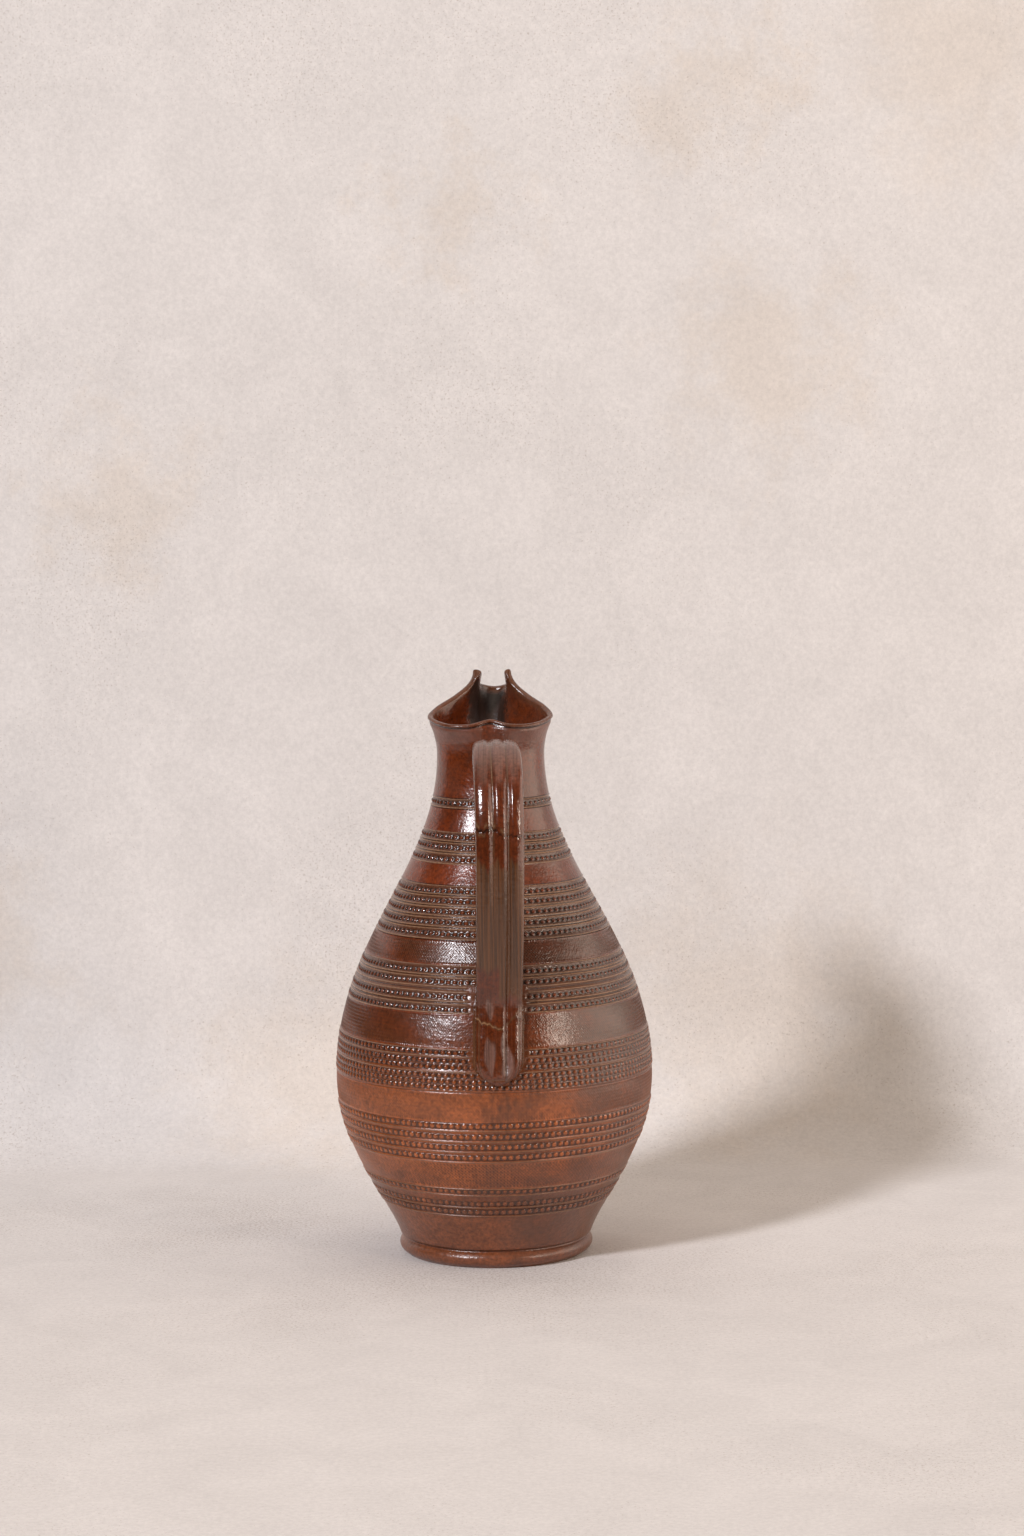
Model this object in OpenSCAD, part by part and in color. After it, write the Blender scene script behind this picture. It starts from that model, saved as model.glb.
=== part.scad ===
// Salt-glazed stoneware jug with a pinched cloverleaf mouth, beaded bands and a ribbed strap handle.
// One fired piece. Millimetres, +Z up, origin at the centre of the base on the throwing axis.
// The handle is on the -Y side and the spout is on the +Y side.

/* [Body] */
// Diameter at the widest part of the belly
belly_d = 150.4; // [130:0.2:170]
// Height of the widest part of the belly
belly_h = 85.3; // [75:0.1:95]
// Diameter of the neck at its narrowest
neck_d = 50.8; // [46:0.2:58]
// Height of the narrowest part of the neck
neck_h = 238; // [226:1:250]
// Diameter just above the foot
waist_d = 91.4; // [84:0.2:98]
// How far the curve rises steeply out of the foot
waist_run = 15.7; // [10:0.1:22]
// Slope of the wall as it leaves the foot
waist_slope = 73; // [62:1:80]
// How far the belly stays upright below its widest part
belly_run = 34; // [26:1:42]
// How far the belly stays upright above its widest part
shoulder_run = 65.5; // [55:0.5:75]
// How far the neck stays upright below its narrowest part
neck_run = 54.5; // [45:0.5:65]
// Thickness of the thrown wall
wall = 5.2; // [4:0.1:7]
// Thickness of the floor
floor_t = 8; // [6:0.5:12]

/* [Foot] */
// Diameter of the rounded foot flange
foot_d = 92.2; // [86:0.2:98]
// Height of the foot flange, up to the groove above it
foot_h = 8.6; // [6:0.1:11]
// How far the base is drawn in under the flange
foot_tuck = 3.4; // [2:0.1:5]
// Depth of the groove above the flange
foot_groove = 1.8; // [1:0.1:2.5]

/* [Turned lines and bead rows] */
// Width of a raised line
line_w = 0.85; // [0.6:0.05:1.2]
// How far a raised line stands out
line_out = 0.4; // [0.2:0.05:0.8]
// Height of a small bead row, on the neck and shoulder
small_bead_h = 1.9; // [1.4:0.1:2.4]
// Height of a large bead row, on the belly
large_bead_h = 2.4; // [2:0.1:3]
// How far a bead row stands out
bead_out = 0.6; // [0.3:0.05:1]

/* [Mouth] */
// Thickness of the wall at the lip
lip_t = 3.2; // [2.4:0.1:4]
// Width of the mouth across its two side lobes
mouth_w = 58.8; // [54:0.2:66]
// Rise of the lip at the side lobes above the narrowest part of the neck
lobe_rise = 18.4; // [14:0.2:24]
// How far the lip dips on each side of the handle, below the side lobes
lip_dip = 2.4; // [0:0.1:4]
// Distance of the lip from the axis above the handle
back_reach = 23.2; // [21:0.2:26]
// How far the lip is pushed in at the notch above the handle
back_notch = 2.2; // [0:0.1:4]
// Width of the pour channel between the two pinched tips, wall to wall
pinch_gap = 11.4; // [8:0.2:16]
// Distance of the pinched tips from the axis
pinch_reach = 21; // [18:0.2:24]
// Rise of the pinched tips above the side lobes
pinch_rise = 20; // [14:0.2:26]
// Distance of the spout lip from the axis
spout_reach = 41.2; // [34:0.2:46]
// Width of the spout beyond the pinch
spout_w = 20; // [16:0.2:24]
// Rise of the spout lip above the side lobes
spout_rise = 10.6; // [6:0.2:18]
// How far the spout leans to one side
spout_lean = 2.2; // [-4:0.1:4]
// Extra thickness of the lip at the left pinched tip
tip_bulb = 1.1; // [0:0.1:2]

/* [Handle] */
// Width of the strap at the top
strap_w = 22.4; // [18:0.2:28]
// Width of the strap at its root on the neck
root_w = 18.5; // [14:0.5:24]
// Width of the strap where it meets the belly
tail_w = 21.4; // [16:0.2:26]
// Thickness of the strap
strap_t = 7.4; // [6:0.1:9]
// Depth of the two thumb grooves along the strap
groove_d = 1.5; // [0.5:0.1:2]
// Share of that depth left over the top of the arch
arch_groove = 0.45; // [0.2:0.05:1]
// Height of the strap's root above the narrowest part of the neck
root_rise = 0.6; // [-4:0.1:4]
// Height of the arch above its root
arch_rise = 6.2; // [4:0.1:10]
// Furthest reach of the middle of the strap from the axis
handle_reach = 80.4; // [74:0.2:90]
// Height at which the strap comes down on the belly
seat_h = 132; // [120:1:140]
// Height of the rounded tip of the tail
tip_h = 93.6; // [84:0.2:100]
// How far the tail stands out from the belly
tail_out = 4.6; // [3.6:0.1:5.4]
// Width of the clay smeared out on each side of the tail
smear_w = 1.9; // [1:0.1:4]
// Depth of the clay pressed into the crotch under the strap, where it comes down on the belly
crotch_fill = 1.6; // [0.8:0.1:3]
// How far the tail drifts sideways from the top of the strap
tail_drift = -1.7; // [-4:0.1:4]
// Turn of the handle about the axis
handle_turn = 3; // [-8:0.5:8]

/* [Hidden] */
glaze = "#6b3a22";
$fn = 160;

belly_r = belly_d / 2;
neck_r = neck_d / 2;
waist_r = waist_d / 2;
foot_r = foot_d / 2;
base_r = foot_r - foot_tuck;
waist_h = foot_h + 0.9;

// Heights of the small bead rows, from the neck down
small_beads = [216.5, 201.3, 196.6, 191.3, 177.2, 172.7, 167.9, 163.3, 158.2, 142.7, 138, 131.6, 126];
// Heights of the large bead rows, down the belly
large_beads = [106.8, 103.2, 100.4, 96.4, 93.6, 91, 73.2, 68, 62.9, 57.7, 40.2, 33.8, 29.4];
// Heights of the single raised lines that edge the bands
edge_lines = [214.4, 203.5, 189.3, 179.6, 156.5, 145.2, 124.5, 108.6, 105.1, 98.1, 89, 75, 55.2, 42, 38.3,
              31.9, 27.2];
// Heights of the paired raised lines between bead rows
pair_lines = [199, 194.2, 175.4, 170.7, 166, 161.5, 140.5, 135.4, 129.1, 70.4, 65.1, 60];
pair_gap = 1.1;
band_lines = concat(edge_lines, [for (z = pair_lines) each [z - pair_gap / 2, z + pair_gap / 2]]);

// The revolved body ends under the loft of the mouth, on the top line of the highest band
collar_h = neck_h - 19.6;

function lerp(a, b, t) = a + (b - a) * t;

// Body curve: one cubic from the foot to the belly and one from the belly to the neck
function bezier(p, t) =
    let (u = 1 - t) u * u * u * p[0] + 3 * u * u * t * p[1] + 3 * u * t * t * p[2] + t * t * t * p[3];
lower_curve = [[waist_r, waist_h],
               [waist_r + waist_run * cos(waist_slope), waist_h + waist_run * sin(waist_slope)],
               [belly_r, belly_h - belly_run], [belly_r, belly_h]];
upper_curve = [[belly_r, belly_h], [belly_r, belly_h + shoulder_run],
               [neck_r, neck_h - neck_run], [neck_r, neck_h]];
function curve_at(p, z, lo = 0, hi = 1, n = 22) =
    let (mid = (lo + hi) / 2, q = bezier(p, mid))
    n == 0 ? q[0] : q[1] < z ? curve_at(p, z, mid, hi, n - 1) : curve_at(p, z, lo, mid, n - 1);
function body_r(z) = z >= neck_h ? neck_r : curve_at(z > belly_h ? upper_curve : lower_curve, z);

collar_r = body_r(collar_h);

// Relief of the raised lines and bead rows above the body curve
function line_bump(d) = d >= line_w / 2 ? 0 : line_out * min(1, 2 * (1 - 2 * d / line_w));
function bead_bump(d, h) = d >= h / 2 ? 0 : bead_out * sqrt(1 - pow(2 * d / h, 2));
function relief(z) = max(concat([for (c = band_lines) line_bump(abs(z - c))],
                                [for (c = small_beads) bead_bump(abs(z - c), small_bead_h)],
                                [for (c = large_beads) bead_bump(abs(z - c), large_bead_h)]));
bead_knots = [-1, -0.85, -0.45, 0, 0.45, 0.85, 1];
line_knots = [-1, -0.5, 0.5, 1];
plain_step = 3.5;
profile_heights = concat([for (z = [waist_h + plain_step : plain_step : collar_h - 1]) z],
                         [for (c = band_lines, k = line_knots) c + k * line_w / 2],
                         [for (c = small_beads, k = bead_knots) c + k * small_bead_h / 2],
                         [for (c = large_beads, k = bead_knots) c + k * large_bead_h / 2]);
function sorted(v) = len(v) < 2 ? v : let (p = v[floor(len(v) / 2)])
    concat(sorted([for (x = v) if (x < p) x]), [for (x = v) if (x == p) x],
           sorted([for (x = v) if (x > p) x]));
// Points closer together than the least gap are left out
least_gap = 0.06;
lowest = waist_h + 0.5;
highest = collar_h - line_w / 2 - 0.1;
ordered = sorted([for (z = profile_heights) if (z > lowest && z < highest) z]);
outer_heights = [for (i = [0 : len(ordered) - 1])
    if (i == 0 || ordered[i] - ordered[i - 1] > least_gap) ordered[i]];

// Rounded edge of the foot flange, a flat arc about the middle of its height
foot_mid = foot_h / 2;
foot_turn = 50;
foot_edge = 0.6;
foot_round = 2.2;
foot_points = [for (a = [-foot_turn : 20 : foot_turn])
    [foot_r - foot_tuck * (1 - cos(a)) * foot_round,
     foot_mid + (foot_mid - foot_edge) * sin(a) / sin(foot_turn)]];
// Section of the thrown body, from the axis out under the base, up the outside and down the inside
outer_points = concat([[base_r, 0]], foot_points, [[foot_r - foot_groove, foot_h], [waist_r, waist_h]],
                      [for (z = outer_heights) [body_r(z) + relief(z), z]],
                      [[collar_r, collar_h - line_w / 2], [collar_r + line_out, collar_h - line_w / 5],
                       [collar_r + line_out, collar_h]]);
// The inside of the base is a shallow bowl
bowl_h = 16;
bowl_top = floor_t + bowl_h;
bowl_r = body_r(bowl_top) - wall;
inner_steps = 50;
inner_points = concat([[collar_r - wall, collar_h]],
                      [for (i = [1 : inner_steps]) let (z = lerp(collar_h, bowl_top, i / inner_steps))
                          [body_r(z) - wall, z]],
                      [for (a = [12 : 12 : 84]) [bowl_r * cos(a), bowl_top - bowl_h * sin(a)]],
                      [[0, floor_t]]);
module thrown_body() {
    rotate_extrude() polygon(concat([[0, 0]], outer_points, inner_points));
}

// Catmull-Rom curve through a ring or a run of points
function spline(a, b, c, d, t) =
    0.5 * (2 * b + (c - a) * t + (2 * a - 5 * b + 4 * c - d) * t * t + (3 * b - a - 3 * c + d) * t * t * t);
function closed_spline(p, steps) = let (n = len(p))
    [for (i = [0 : n - 1], k = [0 : steps - 1])
        spline(p[(i + n - 1) % n], p[i], p[(i + 1) % n], p[(i + 2) % n], k / steps)];
function open_spline(p, steps) = let (n = len(p))
    concat([for (i = [0 : n - 2], k = [0 : steps - 1])
        spline(p[max(i - 1, 0)], p[i], p[i + 1], p[min(i + 2, n - 1)], k / steps)], [p[n - 1]]);

// Middle line of the lip on the +X side, from the notch over the handle round to the spout.
// Each point is [x, y, height above the neck, angle on the round neck that the clay was drawn from,
// how late it leaves the round neck on its way up, where a pinched tip leaves latest of all].
lip_r = lip_t / 2;
lobe_x = mouth_w / 2 - lip_r;
lobe_z = lobe_rise - lip_r;
pinch_x = (pinch_gap + lip_t) / 2;
pinch_y = pinch_reach;
pinch_z = lobe_z + pinch_rise;
spout_x = (spout_w - lip_t) / 2;
spout_y = spout_reach - lip_r;
spout_z = lobe_z + spout_rise;
flare = 1.55;
late = 3;
half_lip = [
    [0, -back_reach + back_notch, lobe_z - 0.2 * lip_dip, -90, flare],
    [lobe_x * 0.34, -back_reach - 0.6, lobe_z - lip_dip, -66, flare],
    [lobe_x * 0.72, -back_reach * 0.84, lobe_z - lip_dip, -43, flare],
    [lobe_x, -4.5, lobe_z - 0.1, -12, flare],
    [lobe_x * 0.9, 6.5, lobe_z + pinch_rise * 0.18, 13, flare],
    [(lobe_x + pinch_x) * 0.48, pinch_y - 6.5, lobe_z + pinch_rise * 0.43, 33, 1.9],
    [pinch_x + 3.2, pinch_y - 2.2, lobe_z + pinch_rise * 0.7, 48, 2.6],
    [pinch_x, pinch_y + 0.6, pinch_z, 58, late],
    [spout_x - 0.6, pinch_y + 6, lerp(pinch_z, spout_z, 0.5), 67, 2.4],
    [spout_x, (pinch_y + spout_y) / 2 + 2.5, lerp(pinch_z, spout_z, 0.68), 75, 1.8],
    [spout_x * 0.62, spout_y - 1.8, lerp(pinch_z, spout_z, 0.88), 83, flare],
    [0, spout_y, spout_z, 90, flare]];
pinch_i = 7;
function leaned(p) = [p[0] + spout_lean * max(0, p[1]) / spout_reach, p[1], p[2], p[3], p[4]];
function mirrored(p) = [-p[0], p[1], p[2], 180 - p[3], p[4]];
half_n = len(half_lip);
other_half = [for (i = [half_n - 2 : -1 : 1]) mirrored(half_lip[i])];
lip_controls = [for (p = concat(half_lip, other_half)) leaned(p)];
left_tip = 2 * (half_n - 1) - pinch_i;
around = 4;
lip_n = len(lip_controls) * around;
lip_line = closed_spline([for (p = lip_controls) [p[0], p[1], p[2]]], around);
// Angles run on past 180 on the far side, so that a value between two points never jumps
function between(k, last) = [for (i = [0 : len(lip_controls) - 1], j = [0 : around - 1])
    let (a = lip_controls[i][k], b = i == len(lip_controls) - 1 ? last : lip_controls[i + 1][k])
    lerp(a, b, j / around)];
neck_angles = between(3, 270);
lateness = between(4, flare);
// The left tip was pinched less thin than the right one
bulb_n = 1.4 * around;
function bulb(i) = tip_bulb / 2 * max(0, 1 - abs(i - left_tip * around) / bulb_n);

// Lofted mouth: rings from inside the collar, up the round neck, then out to the lip and over its edge
flare_rings = 9;
function ring_at(s) = [for (i = [0 : lip_n - 1])
    let (e = pow(s, lateness[i]), p = lip_line[i], a = neck_angles[i], r = neck_r - wall * 0.42)
    [lerp(r * cos(a), p[0], e), lerp(r * sin(a), p[1], e), neck_h + p[2] * s]];
function round_ring(r, z) = [for (a = neck_angles) [r * cos(a), r * sin(a), z]];
function plan_normal(ring, i) = let (n = len(ring), d = ring[(i + 1) % n] - ring[(i + n - 1) % n],
    m = norm([d[0], d[1]])) [d[1] / m, -d[0] / m, 0];
function offset_ring(ring, d, up = 0, swell = 0) = [for (i = [0 : len(ring) - 1])
    ring[i] + (d + sign(d) * swell * bulb(i)) * plan_normal(ring, i)
            + [0, 0, up * (1 + swell * bulb(i) / lip_r)]];
// The bulb swells over the last fifth of the height
function swell_at(s) = max(0, min(1, (s - 0.8) * 5));
// The loft starts inside the collar, a little in from both of its faces
tenon_d = 1.2;
tenon_inset = 0.5;
function wall_at(s) = lerp(wall * 0.84, lip_t, min(1, s * 1.6));
throat = [for (t = [0.03, 0.25, 0.5, 0.75, 1]) lerp(collar_h, neck_h, t)];
edge_turns = [for (a = [0 : 30 : 180]) a];
flare_steps = [for (k = [1 : flare_rings]) k / flare_rings];
outer_rings = concat([round_ring(collar_r - tenon_inset, collar_h - tenon_d)],
                     [for (z = throat) round_ring(body_r(z), z)],
                     [for (s = flare_steps) offset_ring(ring_at(s), wall_at(s) / 2, 0, swell_at(s))]);
edge_rings = [for (a = edge_turns) if (a > 0 && a < 180)
    offset_ring(ring_at(1), lip_r * cos(a), lip_r * sin(a), abs(cos(a)))];
function throat_wall(z) = lerp(wall, wall * 0.84, (z - collar_h) / (neck_h - collar_h));
inner_rings = concat([for (k = [flare_rings : -1 : 1]) let (s = k / flare_rings)
                         offset_ring(ring_at(s), -wall_at(s) / 2, 0, swell_at(s))],
                     [for (k = [len(throat) - 1 : -1 : 0]) let (z = throat[k])
                         round_ring(body_r(z) - throat_wall(z), z)],
                     [round_ring(collar_r - wall + tenon_inset, collar_h - tenon_d)]);

// Closed skin over a list of rings; the last ring joins the first, or each end is capped
function tube_faces(rings, n, looped) =
    [for (j = [0 : rings - (looped ? 1 : 2)], i = [0 : n - 1])
        let (a = j * n + i, b = j * n + (i + 1) % n, c = ((j + 1) % rings) * n + i,
             d = ((j + 1) % rings) * n + (i + 1) % n) each [[a, c, b], [b, c, d]]];
module pinched_mouth() {
    rings = concat(outer_rings, edge_rings, inner_rings);
    polyhedron([for (r = rings) each r], tube_faces(len(rings), lip_n, true));
}

// Middle line of the strap as [distance from the axis, height]
arch_h = neck_h + root_rise + arch_rise;
tail_depth = strap_t / 2 - tail_out;
tip_len = tail_w / 2;
tip_top = tip_h + tip_len;
strap_line = [
    [neck_r - 2.6, neck_h + root_rise - 1.2],
    [neck_r + 6, neck_h + root_rise + 2.8],
    [neck_r + (handle_reach - neck_r) * 0.34, arch_h],
    [neck_r + (handle_reach - neck_r) * 0.62, arch_h - 2.4],
    [handle_reach - 8, arch_h - 13],
    [handle_reach - 1.6, arch_h - 29],
    [handle_reach, arch_h - 46],
    [handle_reach - 1.6, arch_h - 66],
    [lerp(handle_reach, body_r(seat_h) + strap_t / 2, 0.45), lerp(arch_h, seat_h, 0.77)],
    [body_r(seat_h) + strap_t / 2 + 0.6, seat_h],
    [body_r(seat_h - 10) - tail_depth + 0.6, seat_h - 10],
    [body_r(lerp(seat_h, tip_h, 0.5)) - tail_depth, lerp(seat_h, tip_h, 0.5)],
    [body_r(tip_top) - tail_depth, tip_top]];
strap_steps = 3;
// The rounded tip: stations round a quarter turn, which sink a little into the belly at the end
tip_turns = [15, 30, 45, 58, 70, 80, 87];
tip_sink = 0.7;
// Below 1, the tip is blunter than a half circle
tip_blunt = 0.75;
tip_path = [for (a = tip_turns) let (z = tip_top - tip_len * sin(a))
    [body_r(z) - tail_depth - tip_sink * (1 - cos(a)), z]];
strap_path = concat(open_spline(strap_line, strap_steps), tip_path);
strap_n = len(strap_path);

// Half width, thickness and side spread at each station along the strap. It thickens towards its root,
// takes the tail's width past the knee of the arch, and spreads at the sides where it sits on the belly.
function along(i) = strap_path[i][1];
function past_knee(i) = i < 4 * strap_steps ? 0 : min(1, (arch_h - along(i)) / (arch_h - seat_h));
function tip_round(i) = i < strap_n - len(tip_turns) ? 1
    : pow(max(0, 1 - pow((tip_top - along(i)) / tip_len, 2)), tip_blunt / 2);
function half_w(i) = lerp(lerp(strap_w, root_w, pow(root_swell(i), 0.8)), tail_w, past_knee(i)) / 2
    * tip_round(i);
function root_swell(i) = max(0, 1 - i / (3 * strap_steps));
function thick(i) = strap_t * (1 + 0.3 * pow(root_swell(i), 2)) * (0.65 + 0.35 * tip_round(i));
function groove_share(i) = i > 6 * strap_steps ? 1
    : lerp(arch_groove, 1, min(1, max(0, (arch_h - 4 - along(i)) / 14)) * (i > 3 * strap_steps ? 1 : 0));
function spread(i) = i < 8 * strap_steps ? 0.4 * root_swell(i)
    : smear_w * min(1, max(0, (seat_h + 2 - along(i)) / 14)) * (0.4 + 0.6 * tip_round(i));

// Strap section: a flattened oval with two thumb grooves on its outer face
groove_at = [-0.29, 0.36];
// The left groove runs out down the strap
groove_fade = [0.75, 0];
groove_wide = 0.13;
function flat_oval(u, t) = t / 2 * pow(max(0, 1 - pow(abs(u), 3.4)), 0.42);
function grooves(u, down) = groove_d * max([for (k = [0, 1])
    (1 - groove_fade[k] * down) * exp(-pow((u - groove_at[k]) / groove_wide, 2))]);
face_u = [-1, -0.94, -0.82, -0.64, -0.48, -0.37, -0.29, -0.21, -0.11, 0.03, 0.18, 0.28, 0.36, 0.44, 0.54,
          0.68, 0.82, 0.94, 1];
back_u = [0.8, 0.4, 0, -0.4, -0.8];
// A groove dies out where the strap is narrower than this
full_groove_w = 6;
function section(w, t, s, down, share, fill) = concat(
    [for (u = face_u) [u * w, flat_oval(u, t) - share * grooves(u, down) * min(1, w / full_groove_w)]],
    [[w + s * 0.4, -t * 0.2], [w + s, -t / 2]],
    [for (u = back_u) [u * w, -t / 2 - fill]],
    [[-w - s, -t / 2], [-w - s * 0.4, -t * 0.2]]);
// The filled crotch runs this far above and below the seat
fill_run = 9;
function fill_at(i) = i < 8 * strap_steps ? 0
    : crotch_fill * max(0, 1 - abs(along(i) - seat_h) / fill_run);
section_n = len(face_u) + len(back_u) + 4;
function drift(i) = tail_drift * pow((arch_h - along(i)) / (arch_h - tip_h), 3);
function run_of(i) = let (d = strap_path[min(i + 1, strap_n - 1)] - strap_path[max(i - 1, 0)]) d / norm(d);
function section_at(i) = section(half_w(i), thick(i), spread(i), past_knee(i), groove_share(i), fill_at(i));
function station(i) = let (t = run_of(i), c = strap_path[i])
    [for (q = section_at(i)) [q[0] + drift(i), -(c[0] - q[1] * t[1]), c[1] + q[1] * t[0]]];
function middle(ring) = (ring[3] + ring[len(face_u) - 4] + 2 * ring[len(face_u) + 4]) / 4;
// Each end is closed by a fan about a point in the middle of its last ring
function end_fans(n, m) = concat(
    [for (i = [0 : n - 1]) [m * n, i, (i + 1) % n]],
    [for (i = [0 : n - 1]) [m * n + 1, (m - 1) * n + (i + 1) % n, (m - 1) * n + i]]);
module strap_handle() {
    rotate([0, 0, handle_turn])
        polyhedron(concat([for (i = [strap_n - 1 : -1 : 0]) each station(i)],
                          [middle(station(strap_n - 1)), middle(station(0))]),
                   concat(tube_faces(strap_n, section_n, false), end_fans(section_n, strap_n)));
}

module jug() {
    color(glaze) union() {
        thrown_body();
        pinched_mouth();
        strap_handle();
    }
}

jug();
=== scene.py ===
# Salt-glazed stoneware jug with beaded and rouletted bands, a pinched mouth and a ribbed strap handle.
# Every size is a millimetre of the real jug until its mesh is made, and the frame is the CAD one.
import math

import bpy
import numpy as np
from mathutils import Matrix, Vector


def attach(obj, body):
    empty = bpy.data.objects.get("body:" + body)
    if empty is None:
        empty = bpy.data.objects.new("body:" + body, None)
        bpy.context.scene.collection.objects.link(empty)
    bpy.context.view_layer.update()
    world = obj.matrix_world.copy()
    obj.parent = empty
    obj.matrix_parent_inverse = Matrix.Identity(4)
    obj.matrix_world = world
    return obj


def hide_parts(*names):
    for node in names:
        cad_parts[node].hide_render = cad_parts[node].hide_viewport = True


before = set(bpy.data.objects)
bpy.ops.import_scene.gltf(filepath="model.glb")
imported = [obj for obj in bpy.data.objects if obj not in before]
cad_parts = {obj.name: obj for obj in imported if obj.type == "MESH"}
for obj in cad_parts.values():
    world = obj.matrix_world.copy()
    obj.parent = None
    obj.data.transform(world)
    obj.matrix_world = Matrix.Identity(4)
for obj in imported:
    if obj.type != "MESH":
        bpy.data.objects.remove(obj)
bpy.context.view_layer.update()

# Foot and base. The jug is thrown in one piece from iron-washed stoneware clay, and the foot is a rounded
# flange turned at its bottom, with a groove above it. The base is wiped flat and sits on the table.
MM = 0.001
WALL = 5.2
FLOOR = 8.0
FOOT_R, FOOT_H, BASE_R = 46.1, 8.6, 42.7
FOOT_TUCK, FOOT_GROOVE = 3.4, 1.8
# The thrown curve has the source's sizes: radius and height of waist, belly and neck, and how far each runs
WAIST_R, WAIST_Z, WAIST_RUN, WAIST_SLOPE = 45.7, 9.5, 15.7, math.radians(73)
BELLY_R, BELLY_Z, BELLY_RUN, SHOULDER_RUN = 75.2, 85.3, 34.0, 65.5
NECK_R, NECK_Z, NECK_RUN = 25.4, 238.0, 54.5
# Points to a plain ring outside and inside the wall
ROUND, INSIDE = 360, 120


def cubic(a, b, c, d):
    """Points along a cubic curve from a to d, drawn towards b and c."""
    t = np.linspace(0, 1, 1500)[:, None]
    u = 1 - t
    return u ** 3 * a + 3 * u * u * t * b + 3 * u * t * t * c + t ** 3 * d


waist_end = [WAIST_R + WAIST_RUN * math.cos(WAIST_SLOPE), WAIST_Z + WAIST_RUN * math.sin(WAIST_SLOPE)]
lower_curve = cubic(*np.array([[WAIST_R, WAIST_Z], waist_end,
                               [BELLY_R, BELLY_Z - BELLY_RUN], [BELLY_R, BELLY_Z]]))
upper_curve = cubic(*np.array([[BELLY_R, BELLY_Z], [BELLY_R, BELLY_Z + SHOULDER_RUN],
                               [NECK_R, NECK_Z - NECK_RUN], [NECK_R, NECK_Z]]))
thrown_curve = np.vstack([lower_curve, upper_curve[1:]])


def wall_radius(z):
    """Radius of the plain thrown wall at a height."""
    return np.interp(z, thrown_curve[:, 1], thrown_curve[:, 0])


# What the meshes tell the glaze, point by point: where it is thin; where grooves and gaps are darkened with
# painted shade and pooled glaze; on a bead; sooted; frosted, with painted reflection over the handle's arch
# and under the rim; matt
MARKS = ("worn", "groove", "bead", "smoke", "frost_and_reflection", "dull")


def around(count):
    """Even angles, once round the jug."""
    return np.arange(count) * 2 * math.pi / count


def ring(radius, z, count=ROUND, **marks):
    """One ring of points round the jug, with how strongly each mark is laid on the glaze there."""
    angle = around(count)
    points = np.empty((count, 3))
    points[:, 0] = radius * np.cos(angle)
    points[:, 1] = radius * np.sin(angle)
    points[:, 2] = z
    paint = np.zeros((count, len(MARKS)))
    for k, mark in enumerate(MARKS):
        paint[:, k] = marks.get(mark, 0.0)
    return angle, points, paint


def stitch(a, b, a0, b0):
    """Faces between two rings: quads where their counts agree, and otherwise triangles by angle."""
    n, m = len(a), len(b)
    if n == m:
        i = np.arange(n)
        j = (i + 1) % n
        return np.stack([a0 + i, a0 + j, b0 + j, b0 + i], 1).tolist()
    a = np.append(a, a[0] + 2 * math.pi)
    b = np.append(b, b[0] + 2 * math.pi)
    faces, i, j = [], 0, 0
    while i < n or j < m:
        if j == m or (i < n and a[i + 1] <= b[j + 1]):
            faces.append((a0 + i, a0 + (i + 1) % n, b0 + j % m))
            i += 1
        else:
            faces.append((a0 + i % n, b0 + (j + 1) % m, b0 + j))
            j += 1
    return faces


def clay(name, rings, glaze, looped=True, caps=None, sharp=()):
    """A fired piece from rings of points: joined end to end, or closed by a fan at each end."""
    starts = np.cumsum([0] + [len(r[0]) for r in rings])
    points = np.vstack([r[1] for r in rings])
    paint = np.vstack([r[2] for r in rings])
    faces = []
    for k in range(len(rings) - (0 if looped else 1)):
        nxt = (k + 1) % len(rings)
        faces += stitch(rings[k][0], rings[nxt][0], int(starts[k]), int(starts[nxt]))
    if caps:
        last, n_first, n_last = int(starts[-2]), len(rings[0][0]), len(rings[-1][0])
        points = np.vstack([points, caps])
        paint = np.vstack([paint, paint[:1], paint[-1:]])
        a, b = len(points) - 2, len(points) - 1
        faces += [(a, (i + 1) % n_first, i) for i in range(n_first)]
        faces += [(b, last + i, last + (i + 1) % n_last) for i in range(n_last)]
    mesh = bpy.data.meshes.new(name)
    mesh.from_pydata((points * MM).tolist(), [], faces)
    mesh.polygons.foreach_set("use_smooth", np.ones(len(mesh.polygons), bool))
    for k, mark in enumerate(MARKS):
        if paint[:, k].any():
            values = paint[:, k].astype(np.float32)
            mesh.attributes.new(mark, "FLOAT", "POINT").data.foreach_set("value", values)
    if sharp:
        # Hard edges run along these rings alone
        belongs = np.full(len(points), -1)
        for k in sharp:
            belongs[starts[k % len(rings)]:starts[k % len(rings)] + len(rings[k][0])] = k % len(rings)
        ends = np.empty(len(mesh.edges) * 2, np.int32)
        mesh.edges.foreach_get("vertices", ends)
        home = belongs[ends.reshape(-1, 2)]
        crease = (home[:, 0] >= 0) & (home[:, 0] == home[:, 1])
        mesh.attributes.new("sharp_edge", "BOOLEAN", "EDGE").data.foreach_set("value", crease)
    mesh.materials.append(glaze)
    mesh.update()
    piece = bpy.data.objects.new(name, mesh)
    bpy.context.scene.collection.objects.link(piece)
    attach(piece, "root")
    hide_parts("jug")


def inner_rings(top, bottom):
    """The inside of the thrown wall, from the top down."""
    steps = max(2, int(round((top - bottom) / 3.0)) + 1)
    return [ring(wall_radius(z) - WALL, z, INSIDE) for z in np.linspace(top, bottom, steps)]


def srgb(code):
    """A #rrggbb colour as the linear one that a shader takes."""
    parts = [int(code[i:i + 2], 16) / 255 for i in (1, 3, 5)]
    return tuple(c / 12.92 if c <= 0.04045 else ((c + 0.055) / 1.055) ** 2.4 for c in parts) + (1.0,)


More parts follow.
